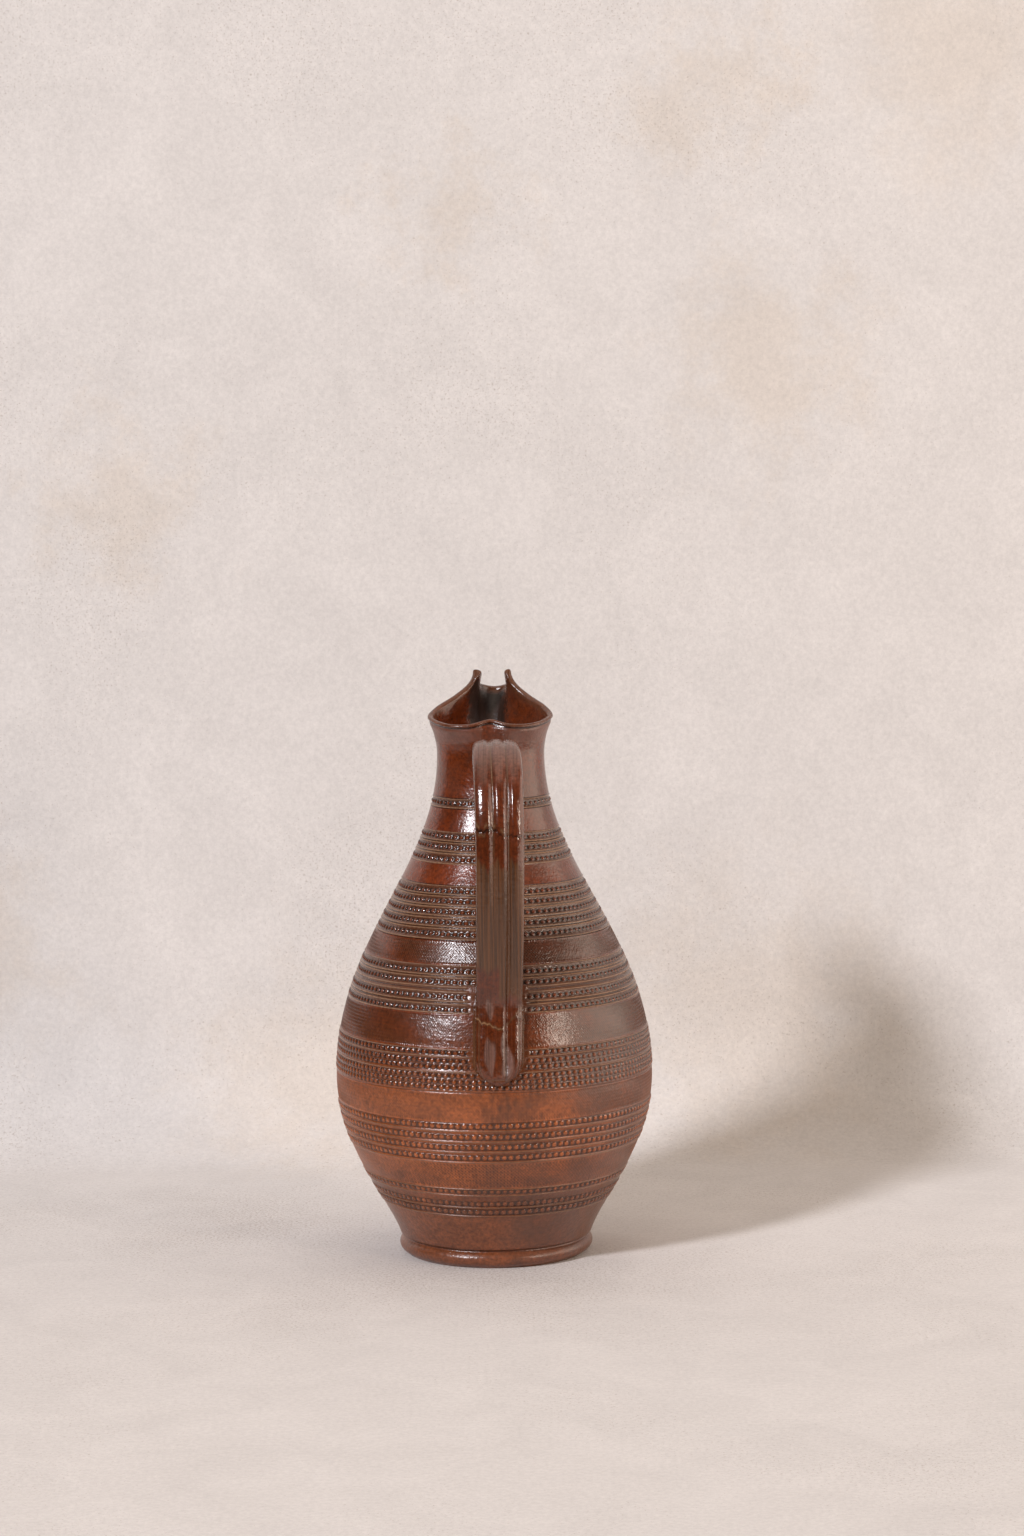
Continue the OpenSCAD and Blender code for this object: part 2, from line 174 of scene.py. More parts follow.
def put(tree, kind, inputs=None, **settings):
    """Adds a shader node with its settings, and sets or links its inputs."""
    node = tree.nodes.new("ShaderNode" + kind)
    for key, value in settings.items():
        setattr(node, key, value)
    for key, value in (inputs or {}).items():
        if isinstance(value, bpy.types.NodeSocket):
            tree.links.new(value, node.inputs[key])
        else:
            node.inputs[key].default_value = value
    return node


# Body colour up the jug: orange-brown where the kiln was open, dark red-brown where the salt lay thick
BODY_COLOURS = [(0, "#733f24"), (22, "#784327"), (36, "#804728"), (48, "#9a5329"), (84, "#9e5529"),
                (94, "#87451f"), (106, "#763918"), (120, "#6e3114"), (160, "#6b2f12"), (200, "#6b2b0d"),
                (232, "#662a0b"), (270, "#632a0e")]
# The strap lightens over the top of its arch, partly as painted reflection of the ceiling
STRAP_COLOURS = [(0, "#57280f"), (100, "#57270f"), (120, "#53230c"), (200, "#53230c"), (232, "#5d2b17"),
                 (245, "#6d4538"), (270, "#6d4538")]


def salt_glaze(name, pulled=False):
    """Salt-glazed iron-brown stoneware: a thin glass skin with an orange-peel surface.
    Glossy and broken in the highlights, mottled by the ash, thin and pale on the raised lines."""
    glaze = bpy.data.materials.new(name)
    glaze.use_nodes = True
    tree = glaze.node_tree
    tree.nodes.clear()
    place = put(tree, "TexCoord").outputs["Object"]
    xyz = put(tree, "SeparateXYZ", {0: place}).outputs
    mark = {m: put(tree, "Attribute", attribute_name=m).outputs["Fac"] for m in MARKS}

    # Cloudy ash marks about 14 mm across drift the body colour up and down the jug
    cloud = put(tree, "TexNoise", {"Vector": place, "Scale": 70.0, "Detail": 5.0, "Roughness": 0.62})
    drifted = put(tree, "Math", {0: cloud.outputs["Fac"], 1: 0.03, 2: xyz[2]}, operation="MULTIPLY_ADD")
    level = put(tree, "Math", {0: drifted.outputs[0], 1: 0.015}, operation="SUBTRACT")
    height = put(tree, "MapRange", {0: level.outputs[0], 2: 0.28}).outputs[0]
    body = put(tree, "ValToRGB", {0: height})
    stops = body.color_ramp.elements
    colours = STRAP_COLOURS if pulled else BODY_COLOURS
    for z, code in colours[1:-1]:
        stops.new(z / 280)
    for stop, (z, code) in zip(stops, colours):
        stop.position, stop.color = z / 280, srgb(code)

    # Fine speckle of iron and ash, about 1.5 mm
    speck = put(tree, "TexNoise", {"Vector": place, "Scale": 620.0, "Detail": 3.0, "Roughness": 0.7})
    speck_tone = put(tree, "MapRange", {0: speck.outputs["Fac"], 1: 0.32, 2: 0.68, 3: 0.58, 4: 1.38})
    tone = put(tree, "MapRange", {0: cloud.outputs["Fac"], 1: 0.3, 2: 0.72, 3: 0.76, 4: 1.24})
    both = put(tree, "Math", {0: speck_tone.outputs[0], 1: tone.outputs[0]}, operation="MULTIPLY")
    mottled = put(tree, "VectorMath", {0: body.outputs["Color"], 3: both.outputs[0]}, operation="SCALE")

    # Grey-brown fume veils in patches some 40 mm across, thicker on the jug's right side, where the grey also
    # stands in for the pale wall's reflection: partly painted reflection
    veil = put(tree, "TexNoise", {"Vector": place, "Scale": 26.0, "Detail": 4.0, "Roughness": 0.6})
    right_side_sheen = put(tree, "MapRange", {0: xyz[0], 1: -0.03, 2: 0.06, 3: -0.1, 4: 0.24})
    veiled = put(tree, "Math", {0: veil.outputs["Fac"], 1: right_side_sheen.outputs[0]}, operation="ADD")
    veil_depth = put(tree, "MapRange", {0: veiled.outputs[0], 1: 0.5, 2: 0.72, 3: 0.0, 4: 0.55})
    fumed = put(tree, "Mix", {0: veil_depth.outputs[0], 6: mottled.outputs[0], 7: srgb("#5a4238")},
                data_type="RGBA")

    # Dark runs of thick glaze under the handle's tail, drawn downwards
    drawn = put(tree, "VectorMath", {0: place, 1: (260.0, 260.0, 90.0)}, operation="MULTIPLY")
    run = put(tree, "TexNoise", {"Vector": drawn.outputs[0], "Scale": 1.0, "Detail": 5.0,
                                 "Roughness": 0.65})
    under = put(tree, "VectorMath", {0: place, 1: (0.009, -0.074, 0.079)}, operation="DISTANCE")
    below = put(tree, "MapRange", {0: under.outputs["Value"], 1: 0.006, 2: 0.036, 3: 0.08, 4: -0.35})
    gathered = put(tree, "Math", {0: run.outputs["Fac"], 1: below.outputs[0]}, operation="ADD")
    runs = put(tree, "MapRange", {0: gathered.outputs[0], 1: 0.42, 2: 0.72, 3: 0.0, 4: 0.75})
    fumed = put(tree, "Mix", {0: runs.outputs[0], 6: fumed.outputs[2], 7: srgb("#4a2c1c")},
                data_type="RGBA")

    # Wet red beads, brown glaze run thin in the bands and pale on their raised lines; the grooves, the gaps
    # round the beads and the roulette's cuts are darkened as painted shade and pooled glaze
    bead = put(tree, "Math", {0: mark["bead"], 1: 0.7}, operation="MULTIPLY")
    beaded = put(tree, "Mix", {0: bead.outputs[0], 6: fumed.outputs[2], 7: mottled.outputs[0]},
                 data_type="RGBA")
    rubbed = put(tree, "MapRange", {0: speck.outputs["Fac"], 1: 0.3, 2: 0.65, 3: 0.7, 4: 1.0})
    worn = put(tree, "Math", {0: mark["worn"], 1: rubbed.outputs[0]}, operation="MULTIPLY")
    higher = put(tree, "MapRange", {0: level.outputs[0], 1: 0.085, 2: 0.115})
    channel = put(tree, "Mix", {0: higher.outputs[0], 6: srgb("#643e27"), 7: srgb("#5a3d28")},
                  data_type="RGBA")
    crest = put(tree, "MapRange", {0: worn.outputs[0], 1: 0.42, 2: 0.95})
    thin = put(tree, "Mix", {0: crest.outputs[0], 6: channel.outputs[2], 7: srgb("#9f7654")},
               data_type="RGBA")
    bare = put(tree, "MapRange", {0: worn.outputs[0], 2: 0.45, 4: 0.9})
    lined = put(tree, "Mix", {0: bare.outputs[0], 6: beaded.outputs[2], 7: thin.outputs[2]},
                data_type="RGBA")
    # Painted shade, with some pooled glaze, in grooves, bead gaps, roulette cuts, the foot groove and under
    # the rim; the high crack's seam takes the same dark colour
    pool_and_shade = put(tree, "Mix", {0: higher.outputs[0], 6: srgb("#33180b"), 7: srgb("#170a05")},
               data_type="RGBA")
    pooled_and_shaded = put(tree, "Mix", {0: mark["groove"], 6: lined.outputs[2], 7: pool_and_shade.outputs[2]},
                 data_type="RGBA")
    smoked = put(tree, "Mix", {0: mark["smoke"], 6: pooled_and_shaded.outputs[2], 7: srgb("#291b14")},
                 data_type="RGBA")
    # Pinkish grey: thin frosted glaze in patches on the tail and over the top of the handle, with painted
    # reflection of the ceiling over the handle's arch and painted reflection of the board under the rim
    frosted_and_reflected = put(tree, "Math", {0: mark["frost_and_reflection"], 1: rubbed.outputs[0]}, operation="MULTIPLY")
    colour = put(tree, "Mix", {0: frosted_and_reflected.outputs[0], 6: smoked.outputs[2], 7: srgb("#76574c")},
                 data_type="RGBA").outputs[2]

    # Glossy above, satin low on the jug where less salt reached it
    satin, glossy = 0.32, 0.15 if pulled else 0.23
    shine = put(tree, "MapRange", {0: level.outputs[0], 1: 0.078, 2: 0.1, 3: satin, 4: glossy})
    rough = shine.outputs[0]
    for source, share in ((worn.outputs[0], 0.08), (cloud.outputs["Fac"], 0.16), (mark["frost_and_reflection"], 0.16),
                          (mark["dull"], 0.1), (mark["smoke"], 0.16), (mark["bead"], -0.13)):
        rough = put(tree, "Math", {0: source, 1: share, 2: rough}, operation="MULTIPLY_ADD").outputs[0]
    roughness = put(tree, "Math", {0: rough, 1: 0.08}, operation="SUBTRACT")

    # Orange peel with a grain of about 1.3 mm, over throwing marks that run round the jug
    peel = put(tree, "TexNoise", {"Vector": place, "Scale": 760.0, "Detail": 2.0, "Roughness": 0.55})
    peel_high = 0.00012 if pulled else 0.00017
    smooth_bead = put(tree, "Math", {0: mark["bead"], 1: -0.75, 2: 1.0}, operation="MULTIPLY_ADD")
    skin = put(tree, "Bump", {"Strength": smooth_bead.outputs[0], "Distance": peel_high,
                              "Height": peel.outputs["Fac"]})
    ripple = put(tree, "TexNoise", {"Vector": place, "Scale": 190.0, "Detail": 1.0})
    skin = put(tree, "Bump", {"Strength": 1.0, "Distance": 0.00012, "Height": ripple.outputs["Fac"],
                              "Normal": skin.outputs[0]})
    squeeze = put(tree, "VectorMath", {0: place, 1: (14.0, 14.0, 330.0)}, operation="MULTIPLY")
    thrown = put(tree, "TexNoise", {"Vector": squeeze.outputs[0], "Scale": 1.0, "Detail": 3.0})
    skin = put(tree, "Bump", {"Strength": 1.0, "Distance": 0.00012, "Height": thrown.outputs["Fac"],
                              "Normal": skin.outputs[0]})
    if pulled:
        # Fine drag lines that the wet hand left along the strap, about 0.8 mm apart
        drawn_out = put(tree, "VectorMath", {0: place, 1: (1250.0, 16.0, 16.0)}, operation="MULTIPLY")
        drag = put(tree, "TexNoise", {"Vector": drawn_out.outputs[0], "Scale": 1.0, "Detail": 2.0})
        skin = put(tree, "Bump", {"Strength": 1.0, "Distance": 0.00006, "Height": drag.outputs["Fac"],
                                  "Normal": skin.outputs[0]})
        # Where the glaze is matt or frosted, the drag lines show through it as dark streaks
        colour = put(tree, "Mix", {0: mark["dull"], 6: colour, 7: srgb("#5a361b")},
                     data_type="RGBA").outputs[2]
        film = put(tree, "Math", {0: mark["frost_and_reflection"], 1: mark["dull"]}, operation="ADD")
        streak = put(tree, "MapRange", {0: film.outputs[0], 3: 0.85, 4: 0.5})
        dark = put(tree, "MapRange", {0: drag.outputs["Fac"], 1: 0.36, 2: 0.56, 3: streak.outputs[0],
                                      4: 1.08})
        colour = put(tree, "VectorMath", {0: colour, 3: dark.outputs[0]}, operation="SCALE").outputs[0]
    surface = put(tree, "BsdfPrincipled", {"Base Color": colour, "Roughness": roughness.outputs[0],
                                           "IOR": 1.6, "Normal": skin.outputs[0]})
    put(tree, "OutputMaterial", {"Surface": surface.outputs[0]})
    return glaze


plain_glaze = salt_glaze("salt_glazed_stoneware")

foot_top = 26.4
foot_rings = [ring(BASE_R - 1.5, 0.0), ring(BASE_R, 0.0)]
for a in np.radians(np.arange(-50, 51, 10)):
    out = FOOT_R - FOOT_TUCK * (1 - math.cos(a)) * 2.2
    foot_rings.append(ring(out, FOOT_H / 2 + (FOOT_H / 2 - 0.6) * math.sin(a) / math.sin(math.radians(50))))
# The groove above the flange and the tuck under the waist are darkened: painted shade
foot_rings += [ring(FOOT_R - FOOT_GROOVE, FOOT_H, groove=0.8),
               ring(WAIST_R - 0.4, FOOT_H + 0.4, groove=0.5), ring(WAIST_R, FOOT_H + 0.9)]
for z in np.arange(WAIST_Z + 2, foot_top, 1.5):
    foot_rings.append(ring(wall_radius(z), z))
foot_rings.append(ring(wall_radius(foot_top), foot_top))
cap_ring = len(foot_rings) - 1
# Inside, the wall turns into the floor in a quarter round
bowl_h = 16.0
bowl_top = FLOOR + bowl_h
bowl_r = wall_radius(bowl_top) - WALL
foot_rings += [ring(wall_radius(foot_top) - WALL, foot_top, INSIDE), ring(bowl_r, bowl_top, INSIDE)]
for a in np.radians([12, 24, 36, 48, 60, 72, 84]):
    foot_rings.append(ring(bowl_r * math.cos(a), bowl_top - bowl_h * math.sin(a), INSIDE))
clay("jug_foot", foot_rings, plain_glaze, looped=False, caps=[[0, 0, 0], [0, 0, FLOOR]],
     sharp=(1, cap_ring, cap_ring + 1))

# Strips between the bands. Four were rolled with a fine lozenge roulette while the clay was leather-hard,
# and two were left plain. All are part of the thrown wall, under the same glaze. The roulette's slanting
# cuts are modelled, four points to a lozenge round the jug and three up it. The second run is shallower.
# Each strip: low and high edge, lozenges round the jug, their height and depth, how pale their crests are
strips = [("strip_foot", 42.6, 54.6, 258, 1.5, 0.15, 0.0),
          ("strip_belly", 75.6, 88.4, 384, 1.45, 0.15, 0.0),
          ("strip_shoulder", 109.2, 123.9, 374, 1.45, 0.18, 0.5),
          ("strip_high_shoulder", 145.9, 155.8, 265, 1.4, 0.24, 0.8),
          ("strip_collar", 180.3, 188.7, 0, 0, 0, 0),
          ("strip_neck", 204.1, 213.8, 0, 0, 0, 0)]
CUT_POINTS, CUT_ROWS = 4, 3
pressure = np.random.default_rng(3)
for name, low, high, count, tall, deep, pale_wear_and_reflection in strips:
    rings = []
    if count:
        heights = np.linspace(low, high, int(round((high - low) / tall * CUT_ROWS)) + 1)
        swings = pressure.uniform(0, 6, 3)
        angle = around(count * CUT_POINTS)
        for z in heights:
            rise = 2 * math.pi * (z - low) / tall
            # The hand pressed harder in places, and the cuts fade out at both edges of the strip
            firm = 0.62 + 0.25 * np.sin(3 * angle + swings[0]) + 0.2 * np.sin(8 * angle + swings[1] + 0.4 * z)
            firm = np.clip(firm, 0.15, 1) * np.clip(min(z - low, high - z) / 0.5, 0, 1)
            cut = firm * (np.sin(count * angle + rise) + 0.5 * np.sin(count * angle - rise))
            # The cuts are darkened with the groove mark: painted shade in them
            rings.append(ring(wall_radius(z) + deep * (cut - firm), z, len(angle),
                              groove=np.clip(0.15 - 1.2 * cut, 0, 0.9), worn=np.clip(pale_wear_and_reflection * cut, 0, 1)))
    else:
        rings = [ring(wall_radius(z), z) for z in np.linspace(low, high, int((high - low) / 1.2) + 2)]
    top = len(rings) - 1
    clay(name, rings + inner_rings(high, low), plain_glaze, sharp=(0, top, top + 1, -1))

# Beaded bands. Raised lines were turned into the wall, and rows of round beads were rolled between them
# with a small wheel, so the rows wander a little and some beads came out flat.
BEAD_PITCH = 3.06
LINE_W, LINE_OUT = 0.68, 0.42
GROOVE_W, GROOVE_IN = 0.56, 0.36
CHANNEL_IN = 0.22
# How thin the glaze lies where a finger wiped the bands
WIPED_WORN = 0.24
hand = np.random.default_rng(11)


def smooth(v, low, high):
    """Rises from 0 at low to 1 at high without a corner."""
    t = np.clip((v - low) / (high - low), 0, 1)
    return t * t * (3 - 2 * t)


def wiped(radius, angle, z):
    """Where the potter's finger wiped the bands flat on each side of the handle's tail."""
    low_end, round_from, high_end, half_width = 92.8, 107.0, 138, 14.2
    # Millimetres across the tail, which stands three degrees round and drifts to one side
    side = radius * np.sin(angle + math.radians(87)) + 1.2
    rounding = np.clip((round_from - z) / (round_from - low_end), 0, 1)
    reach = half_width * np.sqrt(np.clip(1 - rounding ** 2, 0, 1))
    inside = 1 - smooth(np.abs(side), reach - 1.0, reach + 0.5)
    return inside * (np.sin(angle) < 0) * (z < high_end) * (z > low_end)


def hump(d, width):
    """A rounded ridge: 1 at its middle, and 0 from half its width away."""
    d = np.abs(np.asarray(d, float))
    return np.where(d < width / 2, np.cos(math.pi * d / width) ** 2, 0.0)


def waver(angle, seed):
    """How far a hand-held tool strays up or down round the turn, in millimetres."""
    return (0.12 * np.sin(2 * angle + seed) + 0.07 * np.sin(5 * angle + 2.1 * seed)
            + 0.03 * np.sin(11 * angle))


def beaded_band(name, low, high, rows, lines, grooves, channel):
    """Each row is its height, then its beads' height, width and stand-out.
    The channel, from 0 to 1, is how far the ground between the lines is sunk and wiped thin."""
    def ground(z):
        """How far the ground between the beads stands out from the plain wall."""
        inside = np.clip(min(z - low, high - z) / 0.8, 0, 1)
        return (-CHANNEL_IN * inside * channel + LINE_OUT * sum(hump(z - c, LINE_W) for c in lines)
                - GROOVE_IN * sum(hump(z - c, GROOVE_W) for c in grooves))

    def lines_and_groove_shade(z):
        """How thin the glaze is on the lines and in the channel, and how far the grooves are darkened with
        painted shade and pooled glaze.
        """
        worn = min(1.0, 0.32 * channel * np.clip(min(z - low - 0.5, high - z - 0.5) / 0.4, 0, 1)
                   + sum(hump(z - c, LINE_W * 0.95) for c in lines))
        return worn, min(1.0, 0.85 * sum(hump(z - c, GROOVE_W * 1.2) for c in grooves))

    def astray(z, angle):
        """How far the turned lines and rows wander, but for the band's edges, which stay level."""
        return np.clip(min(z - low, high - z), 0, 1) * waver(angle, seed)

    def plain_ring(z):
        worn, pool_and_shade = lines_and_groove_shade(z)
        angle = around(ROUND)
        wipe = wiped(wall_radius(z), angle, z)
        return ring(wall_radius(z) + ground(z) * (1 - wipe), z + astray(z, angle),
                    worn=worn + (WIPED_WORN - worn) * wipe, groove=pool_and_shade * (1 - wipe))

    def bead_rings(centre, tall, wide, out):
        """One row of beads: eight points to a bead round the jug, and seven rings up it."""
        radius = float(wall_radius(centre))
        count = int(round(2 * math.pi * radius / BEAD_PITCH))
        edge = wide / (2 * BEAD_PITCH)
        # The gap between two beads, then out to a bead's edges and over its crown
        parts = np.append(-0.5, edge * np.array([-1.04, -0.8, -0.4, 0, 0.4, 0.8, 1.04]))
        along = np.tile(parts, count)
        which = np.repeat(np.arange(count), len(parts))
        stray = hand.uniform(-0.05, 0.05, count)[which]
        start = hand.uniform(0, 1)
        angle = (which + 0.5 + along + stray * (along > -0.5)) * 2 * math.pi / count
        size = hand.uniform(0.86, 1.0, count)[which]
        # Round the row the wheel was pressed in well here and too lightly there, and beads came out flat
        pressed = 1.5 + np.sin(3 * angle + 5 * start) + 0.7 * np.sin(7 * angle + 9 * start)
        full = 0.35 + 0.65 * (0.5 + 0.5 * np.tanh(3.2 * pressed))
        lift = hand.uniform(-0.09, 0.09, count)[which]
        across = along * BEAD_PITCH
        wipe = wiped(radius, angle, centre)
        worn, _ = lines_and_groove_shade(centre)
        rings = []
        for k in (-1.16, -0.98, -0.64, 0, 0.64, 0.98, 1.16):
            z = centre + k * tall / 2
            on_bead = abs(k) <= 1
            rho = np.sqrt((across / (wide / 2)) ** 2 + (abs(k) if on_bead else 1.2) ** 2)
            dome = np.sqrt(np.clip(1 - rho ** 2.2, 0, 1)) * (1 - 0.9 * wipe)
            stand_out = dome * out * size * full - 0.12 * np.clip((rho - 1) * 3, 0, 1)
            r = wall_radius(z) + (ground(centre) + stand_out if on_bead else ground(z))
            up = z + astray(centre, angle) + lift * on_bead
            crown = np.clip(dome * 2, 0, 1)
            marks = np.zeros((len(angle), len(MARKS)))
            marks[:, 0] = np.maximum(worn * (1 - 0.85 * crown), WIPED_WORN * wipe)
            # The gaps round each bead and the row's edges are darkened: painted shade
            marks[:, 1] = (0.85 * (1 - crown) if on_bead else 0.4) * (1 - wipe)
            marks[:, 2] = crown
            rings.append((angle, np.stack([r * np.cos(angle), r * np.sin(angle), up], 1), marks))
        return rings

    flat = [low, high, low + 0.4, high - 0.4]
    for c in lines:
        flat += [c + k * LINE_W for k in (-0.5, -0.25, 0, 0.25, 0.5)]
    for c in grooves:
        flat += [c + k * GROOVE_W for k in (-0.5, -0.2, 0.2, 0.5)]
    # Plain rings keep clear of the bead rows and of each other
    flat = sorted(z for z in flat
                  if all(abs(z - r[0]) > r[1] * 0.5 + 0.16 for r in rows) and low <= z <= high)
    flat = [z for i, z in enumerate(flat) if i == 0 or z - flat[i - 1] > 0.1 or z in (low, high)]
    seed = hand.uniform(0, 6)
    rings = []
    for z, row in sorted([(z, None) for z in flat] + [(r[0], r) for r in rows], key=lambda v: v[0]):
        rings += bead_rings(*row) if row else [plain_ring(z)]
    top = len(rings) - 1
    clay(name, rings + inner_rings(high, low), plain_glaze, sharp=(0, top, top + 1, -1))


# The beads of the wheels that rolled them: height, width and stand-out
SMALL, MEDIUM, LARGE = (1.6, 1.95, 0.55), (1.95, 2.1, 0.5), (2.35, 2.35, 0.55)
NARROW = (1.9, 2.2, 0.5)


def rolled(bead, heights):
    """Bead rows at these heights, all from one wheel."""
    return [(z,) + bead for z in heights]


# Each call: low and high edge, bead rows, then the heights of the raised lines and of the grooves, and how
# far the ground is sunk
beaded_band("band_foot", 26.4, 42.6, rolled(LARGE, [33.8, 29.4]) + rolled(NARROW, [40.2]),
            [41.7, 38.3, 31.9, 27.2], [35.0, 30.85, 27.85, 32.45], 0.0)
beaded_band("band_belly", 54.6, 75.6, rolled(LARGE, [73.2, 68.0, 62.9, 57.7]), [70.9, 65.6, 60.6, 55.4],
            [74.8, 71.65, 69.5, 66.4, 64.4, 61.35, 59.2, 56.2], 0.0)
beaded_band("band_widest", 88.4, 109.2, rolled(MEDIUM, [106.8, 103.1, 100.3, 96.4, 93.6, 91.1]),
            [108.3, 105.1, 98.1], [88.95], 0.3)
beaded_band("band_shoulder", 123.9, 145.9, rolled(SMALL, [142.7, 138.0, 131.6, 126.0]),
            [145.2, 141.05, 139.95, 136.05, 133.75, 129.7, 128.3, 124.6], [140.5, 134.9, 129.0], 1.0)
beaded_band("band_high_shoulder", 155.8, 180.3, rolled(SMALL, [177.2, 172.9, 168.3, 163.7, 158.7]),
            [179.6, 175.9, 174.9, 171.2, 170.15, 166.6, 165.5, 161.95, 160.9, 156.5],
            [180.05, 175.4, 170.7, 166.05, 161.4, 156.1], 1.0)
beaded_band("band_collar", 188.7, 204.1, rolled(SMALL, [201.3, 196.6, 191.3]),
            [203.4, 199.45, 198.5, 194.75, 193.65, 189.4], [198.95, 194.2], 1.0)
beaded_band("band_neck", 213.8, 219.2, rolled(SMALL, [216.5]), [218.5, 214.5], [218.95, 214.05], 1.0)

# Neck and pinched mouth. The thrown rim was pressed in with two fingers each side of the spout, so the
# lip runs as a cloverleaf: two side lobes, two upright pinched tips, and a spout channel between them.
NECK_LOW = 219.2
LIP_T, NECK_T = 3.2, WALL * 0.84
LIP_R = LIP_T / 2
LOBE_Z, LOBE_X = 16.8, 27.8
PINCH_X, PINCH_Y, PINCH_Z = 7.3, 21.0, 36.8
SPOUT_X, SPOUT_Y, SPOUT_Z = 8.4, 39.6, 27.4
SPOUT_LEAN = 2.2
FLARE, LATE = 1.55, 3.0
AROUND = 12


def lerp(a, b, t):
    """From a, at 0, to b, at 1."""
    return a + (b - a) * t


def spline(points, steps, closed):
    """Catmull-Rom curve through the points, a round of them or an open run."""
    p = np.asarray(points, float)
    n = len(p)
    t = (np.arange(steps) / steps)[:, None]
    out = []
    for i in range(n if closed else n - 1):
        a, b, c, d = (p[k % n] if closed else p[min(max(k, 0), n - 1)] for k in (i - 1, i, i + 1, i + 2))
        out.append(0.5 * (2 * b + (c - a) * t + (2 * a - 5 * b + 4 * c - d) * t ** 2
                          + (3 * b - a - 3 * c + d) * t ** 3))
    return np.vstack(out if closed else out + [p[-1:]])


# Each point: place, height above the neck, angle on the round neck it was drawn from, how late it leaves it
half_lip = [(0, -21.0, LOBE_Z - 0.48, -90, FLARE), (LOBE_X * 0.34, -23.8, LOBE_Z - 2.4, -66, FLARE),
            (LOBE_X * 0.72, -19.49, LOBE_Z - 2.4, -43, FLARE), (LOBE_X, -4.5, LOBE_Z - 0.1, -12, FLARE),
            (LOBE_X * 0.9, 6.5, LOBE_Z + 3.6, 13, FLARE),
            ((LOBE_X + PINCH_X) * 0.48, PINCH_Y - 6.5, LOBE_Z + 8.6, 33, 1.9),
            (PINCH_X + 3.2, PINCH_Y - 2.2, LOBE_Z + 14, 48, 2.6),
            (PINCH_X, PINCH_Y + 0.6, PINCH_Z, 58, LATE),
            (SPOUT_X - 0.6, PINCH_Y + 6, lerp(PINCH_Z, SPOUT_Z, 0.5), 67, 2.4),
            (SPOUT_X, (PINCH_Y + SPOUT_Y) / 2 + 2.5, lerp(PINCH_Z, SPOUT_Z, 0.68), 75, 1.8),
            (SPOUT_X * 0.62, SPOUT_Y - 1.8, lerp(PINCH_Z, SPOUT_Z, 0.88), 83, FLARE),
            (0, SPOUT_Y, SPOUT_Z, 90, FLARE)]
whole_lip = half_lip + [(-x, y, z, 180 - a, e) for x, y, z, a, e in half_lip[-2:0:-1]]
# The spout leans a little to the right
whole_lip = [(x + SPOUT_LEAN * max(0, y) / (SPOUT_Y + LIP_R), y, z, a, e) for x, y, z, a, e in whole_lip]
lip_line = spline([p[:3] for p in whole_lip], AROUND, True)


def between(k, last):
    """One value of the lip's points, run evenly from each to the next."""
    values = [p[k] for p in whole_lip] + [last]
    return np.array([lerp(a, b, j / AROUND) for a, b in zip(values, values[1:]) for j in range(AROUND)])


drawn_from = np.radians(between(3, 270))
lateness = between(4, FLARE)
# The left pinched tip kept a thicker bulb of clay than the right one
left_tip = 2 * (len(half_lip) - 1) - 7
bulb = 0.55 * np.clip(1 - np.abs(np.arange(len(lip_line)) - left_tip * AROUND) / (1.4 * AROUND), 0, 1)


def drawn_ring(s):
    """The middle of the wall as it opens from the round neck, at 0, to the lip, at 1."""
    e = s ** lateness
    r = NECK_R - NECK_T / 2
    return np.stack([lerp(r * np.cos(drawn_from), lip_line[:, 0], e),
                     lerp(r * np.sin(drawn_from), lip_line[:, 1], e), NECK_Z + lip_line[:, 2] * s], 1)


def pushed(points, distance, up=0.0):
    """A ring moved out along its own plan normals, and up."""
    run = np.roll(points, -1, 0) - np.roll(points, 1, 0)
    run /= np.hypot(run[:, 0], run[:, 1])[:, None]
    return points + np.stack([run[:, 1] * distance, -run[:, 0] * distance, np.zeros(len(points)) + up], 1)


def lip_ring(points, worn=0.0, groove=0.0, smoke=0.0, frost_and_reflection=0.0):
    """One ring of the mouth, with its marks, at the angles it was drawn from."""
    paint = np.zeros((len(points), len(MARKS)))
    paint[:, 0], paint[:, 1], paint[:, 3], paint[:, 4] = worn, groove, smoke, frost_and_reflection
    return drawn_from, points, paint


def round_ring(r, z):
    """A plain ring of the neck, with the mouth's points."""
    return np.stack([r * np.cos(drawn_from), r * np.sin(drawn_from), np.full(len(drawn_from), z)], 1)


def drawn_wall(s):
    """How thick the wall is as it opens: thinned to the lip well before it gets there."""
    return lerp(NECK_T, LIP_T, min(1.0, s * 1.6))


def sooted(points):
    """Carbon that the fire left down the spout's channel, with a feathered edge."""
    side = np.abs(points[:, 0] + 1.5) + 0.8 * np.sin(points[:, 2] * 1.9) + 0.5 * np.sin(points[:, 2] * 4.3)
    return (1 - smooth(side, 7.6, 10.2)) * smooth(points[:, 1], 4, 9)


